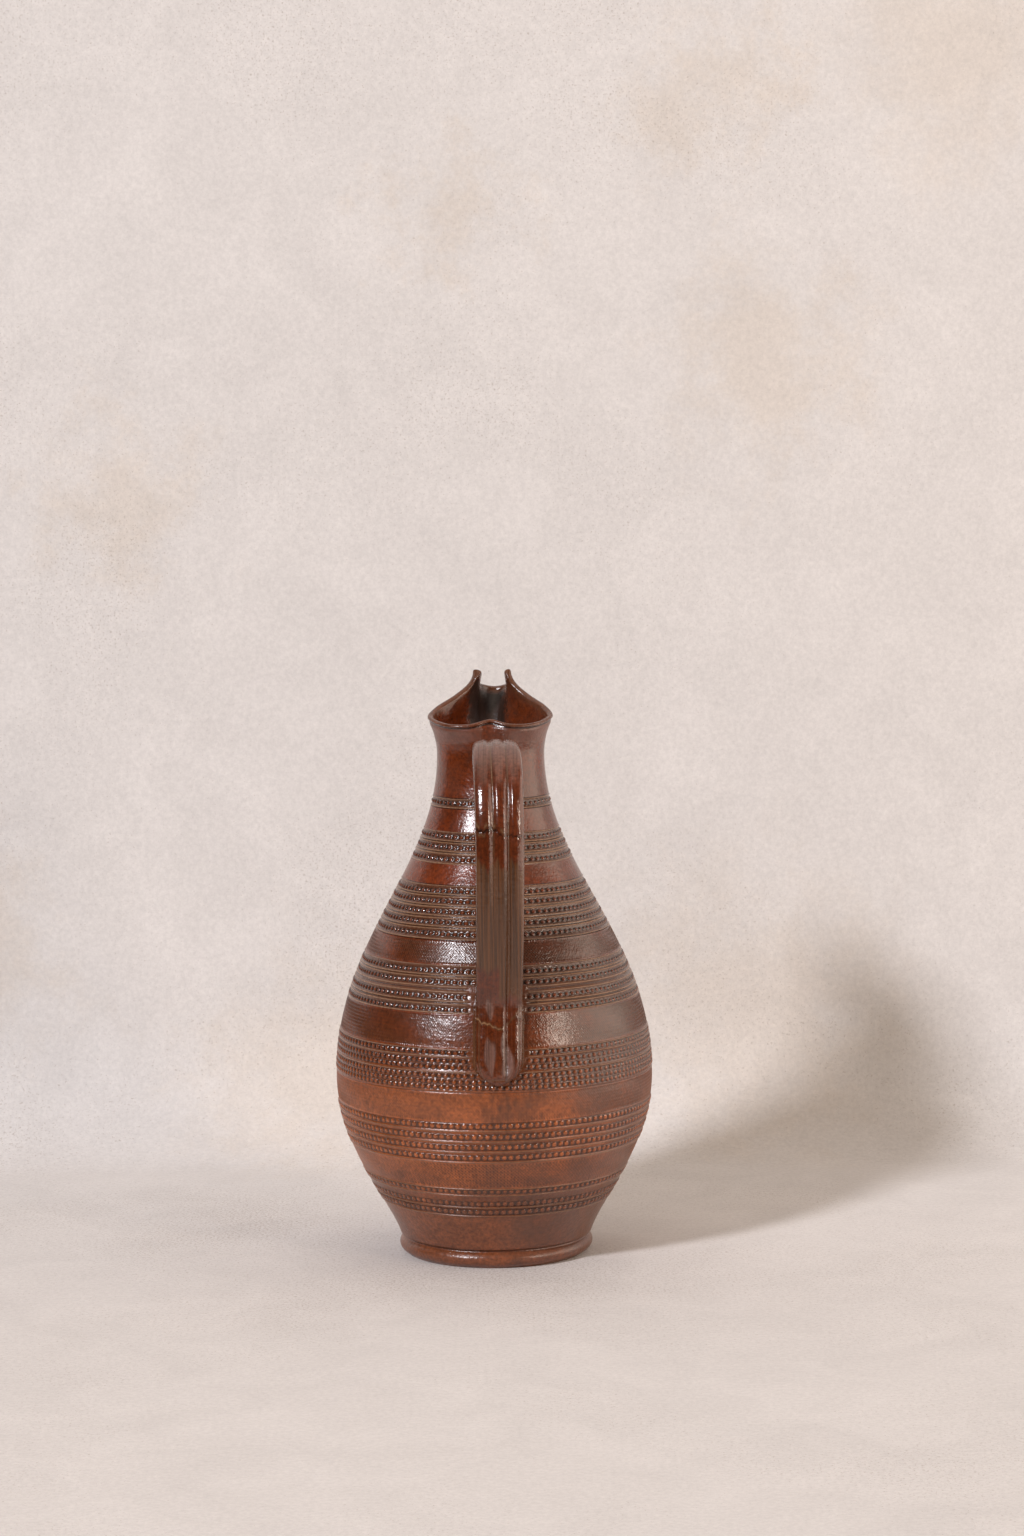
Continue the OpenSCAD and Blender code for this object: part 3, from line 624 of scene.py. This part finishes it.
horn = np.clip((lip_line[:, 2] - 22) / 10, 0, 1)
swell_from = 0.8
mouth_rings = []
for z in np.arange(NECK_LOW, NECK_Z, 1.6):
    mouth_rings.append(lip_ring(round_ring(wall_radius(z), z)))
near_lip = [0.03, 0.08] + list(np.arange(0.13, 0.86, 0.05)) + [0.87, 0.89, 0.905, 0.92, 0.932, 0.944, 0.956]
for s in near_lip:
    swell = max(0.0, (s - swell_from) / (1 - swell_from)) * bulb
    tuck = 0.45 * smooth(s, 0.86, 0.956)
    outer = pushed(drawn_ring(s), drawn_wall(s) / 2 - tuck + swell)
    # Painted reflection of the pale board in the glaze under the rim, left out behind the handle, whose root
    # blocks it
    side = np.abs(outer[:, 0] - 1)
    from_s = 0.5 - 0.007 * side
    pale_wear_and_reflection = 0.42 * smooth(s, from_s, from_s + 0.12) * smooth(side, 4.2, 5.4) * (outer[:, 1] < 4)
    # The tucked line under the rim is darkened there: painted shade
    mouth_rings.append(lip_ring(outer, groove=0.85 * smooth(s, 0.93, 0.956), frost_and_reflection=pale_wear_and_reflection,
                                worn=0.3 * horn * smooth(s, 0.8, 0.9)))
# The rim: a fine rolled bead that stands out over a tucked line, darkened with painted shade, then slopes to
# the inside
# Each point of its section: how far out and up from the lip's middle, and how much painted shade it takes
rim = [(0.98, -0.42, 1.0), (0.96, -0.2, 1.0), (1.08, -0.02, 0.6), (1.36, 0.14, 0.1), (1.55, 0.42, 0),
       (1.56, 0.78, 0), (1.4, 1.14, 0), (1.1, 1.42, 0), (0.7, 1.57, 0), (0.25, 1.57, 0), (-0.25, 1.47, 0),
       (-0.7, 1.3, 0), (-1.1, 1.02, 0), (-1.38, 0.68, 0), (-1.53, 0.3, 0), (-1.58, -0.1, 0)]
for out, up, dark in rim:
    grow = 1 + bulb / LIP_R
    mouth_rings.append(lip_ring(pushed(drawn_ring(1.0), out * grow, up),
                                worn=(0.22 + 0.12 * horn) * (1 - dark), groove=0.85 * dark))
for s in near_lip[::-1]:
    swell = max(0.0, (s - swell_from) / (1 - swell_from)) * bulb
    inner = pushed(drawn_ring(s), -drawn_wall(s) / 2 - swell)
    mouth_rings.append(lip_ring(inner, worn=0.2 * smooth(s, 0.9, 0.956) + 0.12 * horn * smooth(s, 0.7, 0.9),
                                smoke=0.94 * sooted(inner) * (1 - smooth(s, 0.9, 0.96))))
for z in np.append(np.arange(NECK_Z, NECK_LOW + 1.1, -1.6), NECK_LOW):
    thick = lerp(WALL, NECK_T, (z - NECK_LOW + 0.8) / (NECK_Z - NECK_LOW + 0.8))
    inner = round_ring(wall_radius(z) - thick, z)
    mouth_rings.append(lip_ring(inner, smoke=0.94 * sooted(inner)))
clay("neck_and_mouth", mouth_rings, plain_glaze, sharp=(0, -1))

# Strap handle. A strap of clay was pulled by hand, grooved with a thumb and a finger, and stuck to the neck
# and the belly, with clay pressed into the crotch and smeared down both sides of the rounded tail. It has
# been broken twice and glued: a dark crack up high, and a filled one on the tail.
STRAP_T, STRAP_W, ROOT_W, TAIL_W = 7.3, 22.4, 18.5, 21.4
GROOVE_DEEP, ARCH_GROOVE = 1.5, 0.45
GROOVE_AT = (-0.29, 0.36)
REACH, SEAT, TIP = 80.4, 132.0, 93.6
ARCH = NECK_Z + 0.6 + 6.2
# How far the tail's middle lies inside the belly, so that its face stands 4.6 out of it
TAIL_IN = STRAP_T / 2 - 4.6
# Thicker by this share at the root; then the smeared edge, the clay in the crotch and the drift of the tail
ROOT_SWELL, SMEAR, CROTCH_FILL, TAIL_DRIFT = 0.3, 1.9, 1.6, 1.7
TIP_LEN = TAIL_W / 2
TIP_TOP = TIP + TIP_LEN
STEPS = 28


def beside(z, off):
    """How far out from the axis the wall is at a height, plus an offset."""
    return float(wall_radius(z)) + off


def bell(v, at, width):
    """A soft mark: 1 in its middle, and fading out on both sides."""
    return np.exp(-((v - at) / width) ** 2)


strap_line = [
    (NECK_R - 2.6, NECK_Z - 0.6), (NECK_R + 6, NECK_Z + 3.4), (lerp(NECK_R, REACH, 0.34), ARCH),
    (lerp(NECK_R, REACH, 0.62), ARCH - 2.4), (REACH - 8, ARCH - 13), (REACH - 1.6, ARCH - 29),
    (REACH, ARCH - 46), (REACH - 1.6, ARCH - 66),
    (lerp(REACH, beside(SEAT, STRAP_T / 2), 0.45), lerp(ARCH, SEAT, 0.77)),
    (beside(SEAT, STRAP_T / 2 + 0.6), SEAT), (beside(SEAT - 10, 0.6 - TAIL_IN), SEAT - 10),
    (beside(lerp(SEAT, TIP, 0.5), -TAIL_IN), lerp(SEAT, TIP, 0.5)), (beside(TIP_TOP, -TAIL_IN), TIP_TOP)]
strap_path = spline(strap_line, STEPS, False)
straight = len(strap_path)
tip_turns = np.radians(np.arange(5, 89, 3.5))
tip_z = TIP_TOP - TIP_LEN * np.sin(tip_turns)
tip_path = np.stack([[beside(z, -TAIL_IN) for z in tip_z] - 0.7 * (1 - np.cos(tip_turns)), tip_z], 1)
strap_path = np.vstack([strap_path, tip_path])
face_u = np.sin(np.linspace(-math.pi / 2, math.pi / 2, 81))
back_u = np.linspace(0.86, -0.86, 13)
fillet = np.array([(0.12, -0.09), (0.4, -0.2), (0.72, -0.36), (1.0, -0.5)])
# The cracks, as points across the strap from its left edge, at -1, to its right edge, at 1
high_crack = ([-1, -0.7, -0.35, -0.1, 0.08, 0.5, 0.7, 1],
              [210.6, 209.6, 210.8, 209.6, 207.5, 207.7, 207.3, 207.1])
low_crack = ([-1, -0.95, -0.76, -0.45, -0.2, 0.08, 0.41, 0.74, 0.94, 1],
             [123.4, 122.9, 120.9, 120.3, 118.6, 117.5, 120.9, 124.6, 127.5, 128.0])

pull = np.random.default_rng(5)
# Each drag line: where across the strap, how wide, how deep and where along the strap it is strongest
drags = [(pull.uniform(-1, 1), pull.uniform(0.012, 0.04), pull.uniform(0, 1), pull.uniform(0, 6))
         for _ in range(60)]
# Each frosted patch on the tail: where across and up, and how far it spreads both ways
frosted_patches = ((-0.42, 127.5, 0.2, 5), (-0.4, 106, 0.28, 8.5), (0.4, 102, 0.3, 8), (0.15, 112, 0.1, 6))
left_groove, right_groove = GROOVE_AT
nf, ne = len(face_u), len(fillet)
strap_rings = []
for i, (reach, z) in enumerate(strap_path):
    # Where this section is: its place among the points of strap_line, which way it faces, how much of the
    # root's swell and of the smeared tail it has, and how far it is from the arch down to the seat
    k = i / STEPS
    d = strap_path[min(i + 1, len(strap_path) - 1)] - strap_path[max(i - 1, 0)]
    d /= np.hypot(*d)
    swell = max(0.0, 1 - k / 3)
    knee = 0.0 if k < 4 else min(1.0, (ARCH - z) / (ARCH - SEAT))
    low = min(1.0, max(0.0, (SEAT + 2 - z) / 14)) if k > 8 else 0.0
    tip = 1.0 if i < straight else max(0.0, 1 - ((TIP_TOP - z) / TIP_LEN) ** 2) ** 0.375
    w = lerp(lerp(STRAP_W, ROOT_W, swell ** 0.8), TAIL_W, knee) / 2 * tip
    t = STRAP_T * (1 + ROOT_SWELL * swell ** 2) * (0.65 + 0.35 * tip)

    # Its face: an oval with two grooves that run out on the rounded end of the tail, and fine drag lines
    oval = t / 2 * np.maximum(0, 1 - np.abs(face_u) ** 3.4) ** 0.42
    share = 1.0 if k > 6 else lerp(ARCH_GROOVE, 1, min(1.0, max(0.0, (ARCH - 4 - z) / 14)) * (k > 3))
    run_out = smooth(z, TIP + 0.5, TIP + 9) if k > 8 else 1.0
    cut = np.maximum((1 - 0.75 * knee) * bell(face_u, left_groove, 0.13), bell(face_u, right_groove, 0.13))
    scratch = 0.22 * (bell(face_u, left_groove + 0.02, 0.025) * (1 - knee)
                      + bell(face_u, right_groove, 0.025))
    # A thin ridge follows the edge of the tail, where the smeared clay was pressed down
    ridge = 0.3 * low * bell(np.abs(face_u), 0.86, 0.03)
    if i >= straight:
        ridge += 0.3 * bell(z, TIP + 1.7, 0.4) * (np.abs(face_u) < 0.86)
    streak = sum(0.05 * deep * bell(face_u, at, wide) * (0.5 + 0.5 * math.sin(z * 0.045 + phase))
                 for at, wide, deep, phase in drags)
    fine = (scratch * run_out + ridge + streak) * (1 - swell) * min(1.0, w / 6)
    face = np.stack([face_u * w, oval - GROOVE_DEEP * share * cut * run_out - fine], 1)

    # Its edges, smeared on to the body, and its flat back with the clay that was pressed into the crotch
    smear = 0.4 * swell if k < 8 else SMEAR * low * (0.4 + 0.6 * tip)
    fill = CROTCH_FILL * max(0.0, 1 - abs(z - SEAT) / 9) if k > 8 else 0.0
    right = np.stack([w + smear * fillet[:, 0], t * fillet[:, 1]], 1)
    back = np.stack([back_u * w, np.full(len(back_u), -t / 2 - fill)], 1)
    outline = np.vstack([face, right, back, right[::-1] * (-1, 1)])
    drift = -TAIL_DRIFT * ((ARCH - z) / (ARCH - TIP)) ** 3
    points = np.stack([outline[:, 0] + drift, -(reach - outline[:, 1] * d[1]), z + outline[:, 1] * d[0]], 1)

    # Its glaze: pale over the arch, as frosted glaze and painted reflection of the ceiling, frosted in
    # patches on the tail, matt between, thin on edges and scratches
    paint = np.zeros((len(outline), len(MARKS)))
    worn, groove, frost_and_reflection, dull = (paint[:, MARKS.index(m)] for m in ("worn", "groove", "frost_and_reflection", "dull"))
    # Pale over the top of the arch: frosted glaze and painted reflection of the ceiling
    frost_and_reflection[:] = 0.68 * (smooth(z, 234, ARCH) if k > 0.6 else 0.2)
    frost_and_reflection[:nf] *= 1 - 0.6 * np.minimum(1, cut * 1.4)
    if k > 8:
        for at, up, wide, tall in frosted_patches:
            edge = ((face_u - at) / wide) ** 2 + ((z - up + 1.5 * np.sin(face_u * 14)) / tall) ** 2
            frost_and_reflection[:nf] = np.maximum(frost_and_reflection[:nf], 0.85 * (1 - smooth(edge, 0.45, 1.1)))
    ragged = 2.2 * np.sin(face_u * 9) + 1.3 * np.sin(face_u * 23 + 1)
    dull_low = np.where(face_u < 0, 146, 133)
    dull[:nf] = (smooth(z + 0.5 * ragged, dull_low - 2, dull_low + 3)
                 * (1 - smooth(z + ragged, 193.5, 196)) * (k > 4))
    worn[:nf] = np.clip(0.75 * (bell(face_u, left_groove + 0.02, 0.03) * (1 - knee)
                                + 0.7 * bell(face_u, right_groove, 0.03)) * (k < 9)
                        + 0.6 * bell(np.abs(face_u), 0.985, 0.012) + 1.5 * ridge, 0, 1)
    worn[nf:nf + ne] = worn[-ne:] = 0.5 * low
    if k > 4 and 200 < z < 218:
        # The high break: a jagged dark seam, wide on the left, with pale glue above it
        seam = np.interp(face_u, *high_crack) + 0.35 * np.sin(face_u * 31)
        wide = np.interp(face_u, [-1, 0, 0.1, 1], [0.6, 0.5, 0.32, 0.3])
        groove[:nf] = bell(z, seam, wide)
        blobs = np.clip(np.sin(face_u * 19) + 0.3, 0, 1) * (face_u < 0.2)
        glue = 0.7 * bell(z, seam + 2.0, 1.0) * blobs
        glue += 0.6 * bell(z, seam - 1.6, 0.7) * (np.abs(face_u + 0.75) < 0.16)
        worn[:nf] = np.maximum(worn[:nf], glue)
        points[:nf, 1] += 0.3 * bell(z, seam, wide * 0.7)
    if 110 < z < 131:
        # The filled break on the tail: a pale uneven V
        vee = np.interp(face_u, *low_crack) + 0.3 * np.sin(face_u * 27)
        strong = np.interp(face_u, [-1, -0.6, 0.08, 0.3, 1], [1, 1, 0.7, 0.4, 0.6])
        worn[:nf] = np.maximum(worn[:nf], strong * bell(z, vee, 0.62))
    strap_rings.append((around(len(outline)), points, paint))
strap_rings = strap_rings[::-1]
# The handle was stuck on three degrees round from straight behind the spout
turn = np.array(Matrix.Rotation(math.radians(3), 3, "Z")).T
middles = [(r[1].mean(0) @ turn).tolist() for r in (strap_rings[0], strap_rings[-1])]
clay("strap_handle", [(angle, points @ turn, paint) for angle, points, paint in strap_rings],
     salt_glaze("salt_glazed_pulled_strap", pulled=True), looped=False, caps=middles)


# Studio. The jug stands on a pale plastered board that sweeps up into the backdrop close behind it.
# Neither is part of the jug.
def plaster(name, tint, warm, grain):
    """Lime plaster, trowelled and matt: cloudy patches, warm stains and small dark grit."""
    coat = bpy.data.materials.new(name)
    coat.use_nodes = True
    tree = coat.node_tree
    tree.nodes.clear()
    place = put(tree, "TexCoord").outputs["Object"]
    cloud = put(tree, "TexNoise", {"Vector": place, "Scale": 26.0, "Detail": 6.0, "Roughness": 0.7})
    spread = put(tree, "Math", {0: cloud.outputs["Fac"], 1: 0.2, 2: -0.1}, operation="MULTIPLY_ADD")
    stained = 0.0
    # Each stain: where it is across and up the backdrop, in metres, and how far it spreads
    for x, z, size in ((0.149, 0.42, 0.07), (0.26, 0.6, 0.11), (0.12, 0.57, 0.06), (-0.3, 0.107, 0.08),
                       (-0.1, 0.03, 0.1), (0.13, 0.07, 0.12), (-0.02, 0.5, 0.05), (-0.2, 0.36, 0.06)):
        gap = put(tree, "VectorMath", {0: place, 1: (x, 0.25, z)}, operation="DISTANCE")
        ragged = put(tree, "Math", {0: gap.outputs["Value"], 1: spread.outputs[0]}, operation="ADD")
        blot = put(tree, "MapRange", {0: ragged.outputs[0], 1: 0.0, 2: size, 3: 1.0, 4: 0.0},
                   interpolation_type="SMOOTHSTEP")
        stained = put(tree, "Math", {0: blot.outputs[0], 1: stained}, operation="ADD").outputs[0]
    stain = put(tree, "MapRange", {0: stained, 1: 0.0, 2: 1.0, 3: 0.0, 4: 0.42})
    base = put(tree, "Mix", {0: stain.outputs[0], 6: srgb(tint), 7: srgb(warm)}, data_type="RGBA")
    trowel = put(tree, "TexNoise", {"Vector": place, "Scale": 22.0, "Detail": 6.0, "Roughness": 0.65,
                                    "Distortion": 0.8})
    broad = put(tree, "MapRange", {0: trowel.outputs["Fac"], 1: 0.3, 2: 0.7, 3: 0.95, 4: 1.04})
    fine = put(tree, "TexNoise", {"Vector": place, "Scale": 430.0, "Detail": 5.0, "Roughness": 0.75})
    tone = put(tree, "MapRange", {0: fine.outputs["Fac"], 1: 0.3, 2: 0.7, 3: 0.9, 4: 1.07})
    both = put(tree, "Math", {0: tone.outputs[0], 1: broad.outputs[0]}, operation="MULTIPLY")
    toned = put(tree, "VectorMath", {0: base.outputs[2], 3: both.outputs[0]}, operation="SCALE")
    # Dark grit, thick in some patches and missing in others
    grit = put(tree, "TexNoise", {"Vector": place, "Scale": 800.0, "Detail": 3.0, "Roughness": 0.65})
    patch = put(tree, "TexNoise", {"Vector": place, "Scale": 7.0, "Detail": 3.0})
    crowd = put(tree, "MapRange", {0: patch.outputs["Fac"], 1: 0.35, 2: 0.65, 3: 0.0, 4: 0.1})
    near_foot = put(tree, "VectorMath", {0: place, 1: (-0.06, 0.02, 0.0)}, operation="DISTANCE")
    fallen = put(tree, "MapRange", {0: near_foot.outputs["Value"], 1: 0.08, 2: 0.3, 3: 0.07, 4: 0.0})
    gritty = put(tree, "Math", {0: grit.outputs["Fac"], 1: crowd.outputs[0]}, operation="ADD")
    gritty = put(tree, "Math", {0: gritty.outputs[0], 1: fallen.outputs[0]}, operation="ADD")
    specks = put(tree, "MapRange", {0: gritty.outputs[0], 1: 0.66, 2: 0.76, 3: 0.0, 4: grain})
    colour = put(tree, "Mix", {0: specks.outputs[0], 6: toned.outputs[0], 7: srgb("#8d7a68")},
                 data_type="RGBA")
    bump = put(tree, "Bump", {"Strength": 0.5, "Distance": 0.0005, "Height": trowel.outputs["Fac"]})
    surface = put(tree, "BsdfPrincipled", {"Base Color": colour.outputs[2], "Roughness": 0.9,
                                           "Specular IOR Level": 0.2, "Normal": bump.outputs[0]})
    # Seen from behind the board is clear, so the jug can be looked at from the back
    seen = put(tree, "Math", {0: put(tree, "NewGeometry").outputs["Backfacing"],
                              1: put(tree, "LightPath").outputs["Is Camera Ray"]},
               operation="MULTIPLY")
    one_sided = put(tree, "MixShader", {0: seen.outputs[0], 1: surface.outputs[0],
                                        2: put(tree, "BsdfTransparent").outputs[0]})
    put(tree, "OutputMaterial", {"Surface": one_sided.outputs[0]})
    return coat


sweep_start, sweep_r, wall_top, half_across = 0.18, 0.075, 1.1, 0.7
# From the board's front edge to where it starts to rise, then the quarter round and the backdrop
profile = [(y, 0.0) for y in (-0.62, -0.3, 0.0, sweep_start)]
for a in np.radians(np.arange(6, 91, 6)):
    profile.append((sweep_start + sweep_r * math.sin(a), sweep_r * (1 - math.cos(a))))
profile.append((sweep_start + sweep_r, wall_top))
sweep_mesh = bpy.data.meshes.new("plaster_sweep")
sweep_points = [(x, y, z - 0.00005) for y, z in profile for x in (-half_across, half_across)]
sweep_faces = [(2 * i, 2 * i + 1, 2 * i + 3, 2 * i + 2) for i in range(len(profile) - 1)]
sweep_mesh.from_pydata(sweep_points, [], sweep_faces)
sweep_mesh.polygons.foreach_set("use_smooth", [True] * len(sweep_mesh.polygons))
sweep_mesh.materials.append(plaster("lime_plaster", "#dfdcd9", "#d8ccbd", 0.4))
sweep = bpy.data.objects.new("plaster_sweep", sweep_mesh)
bpy.context.scene.collection.objects.link(sweep)

# Light. A round softbox on the left throws the shadow to the right and back, a broad weaker one stands
# on the right, and beyond it a pale wall fills that side. The room behind the camera is dark.
aim = Vector((0.0, 0.0, 0.15))
# Each lamp: colour, shape, width and height, watts, azimuth, rise and distance
lamps = [("left_softbox", "#fbf9ff", "DISK", 0.84, 0.84, 275.0, -40.3, 30.3, 6.0),
         ("right_softbox", "#ffecdb", "RECTANGLE", 0.5, 0.9, 31.0, 50.0, 14.0, 3.5)]
for name, colour, shape, wide, tall, watts, azimuth, rise, distance in lamps:
    lamp = bpy.data.lights.new(name, "AREA")
    lamp.shape = shape
    lamp.size, lamp.size_y = wide, tall
    lamp.energy = watts
    lamp.color = srgb(colour)[:3]
    stand = bpy.data.objects.new(name, lamp)
    bpy.context.scene.collection.objects.link(stand)
    a, e = math.radians(azimuth), math.radians(rise)
    towards = Vector((math.sin(a) * math.cos(e), -math.cos(a) * math.cos(e), math.sin(e)))
    stand.location = aim + distance * towards
    stand.rotation_euler = (aim - stand.location).to_track_quat("-Z", "Y").to_euler()

room = bpy.data.worlds.new("pale_room")
bpy.context.scene.world = room
room.use_nodes = True
tree = room.node_tree
tree.nodes.clear()
way = put(tree, "SeparateXYZ", {0: put(tree, "TexCoord").outputs["Generated"]}).outputs
front = put(tree, "Math", {0: way[1], 1: -1.0}, operation="MULTIPLY")
bearing = put(tree, "Math", {0: way[0], 1: front.outputs[0]}, operation="ARCTAN2")
# The pale wall starts 37 degrees round to the right, and further round above eye level
above = put(tree, "MapRange", {0: way[2], 1: -0.14, 2: 0.02, 3: 0.0, 4: -0.5})
slanted = put(tree, "Math", {0: bearing.outputs[0], 1: above.outputs[0]}, operation="ADD")
near_edge = put(tree, "MapRange", {0: slanted.outputs[0], 1: 0.6, 2: 0.7}, interpolation_type="SMOOTHSTEP")
far_edge = put(tree, "MapRange", {0: bearing.outputs[0], 1: 2.1, 2: 2.5, 3: 1.0, 4: 0.0},
               interpolation_type="SMOOTHSTEP")
top_edge = put(tree, "MapRange", {0: way[2], 1: 0.42, 2: 0.62, 3: 1.0, 4: 0.0},
               interpolation_type="SMOOTHSTEP")
pale_wall = put(tree, "Math", {0: near_edge.outputs[0], 1: far_edge.outputs[0]}, operation="MULTIPLY")
pale_wall = put(tree, "Math", {0: pale_wall.outputs[0], 1: top_edge.outputs[0]}, operation="MULTIPLY")
wall_glow = put(tree, "Math", {0: pale_wall.outputs[0], 1: 2.5, 2: 0.06}, operation="MULTIPLY_ADD")
# The ceiling right overhead is pale too
ceiling = put(tree, "MapRange", {0: way[2], 1: 0.72, 2: 0.92, 3: 0.0, 4: 0.75})
level = put(tree, "Math", {0: ceiling.outputs[0], 1: wall_glow.outputs[0]}, operation="ADD")
glow = put(tree, "Background", {"Color": srgb("#ffebda"), "Strength": level.outputs[0]})
# Past the board the camera sees a plain pale ground
plain = put(tree, "Background", {"Color": srgb("#d8d0ca"), "Strength": 1.0})
ground = put(tree, "MixShader", {0: put(tree, "LightPath").outputs["Is Camera Ray"],
                                 1: glow.outputs[0], 2: plain.outputs[0]})
put(tree, "OutputWorld", {"Surface": ground.outputs[0]})

# Camera, where the photograph was taken from: 1.7 m in front at 0.39 m, tipped down and a little askew.
camera_data = bpy.data.cameras.new("camera")
camera_data.sensor_fit = "VERTICAL"
camera_data.sensor_height = 36.0
camera_data.lens = 84.6
camera = bpy.data.objects.new("camera", camera_data)
bpy.context.scene.collection.objects.link(camera)
tip_down, roll = math.radians(5.438), math.radians(-0.65)
camera.matrix_world = (Matrix.Translation((0.01005, -1.70165, 0.39286))
                       @ Matrix.Rotation(math.radians(90) - tip_down, 4, "X")
                       @ Matrix.Rotation(roll, 4, "Z"))
bpy.context.scene.camera = camera
bpy.context.scene.view_settings.view_transform = "Standard"
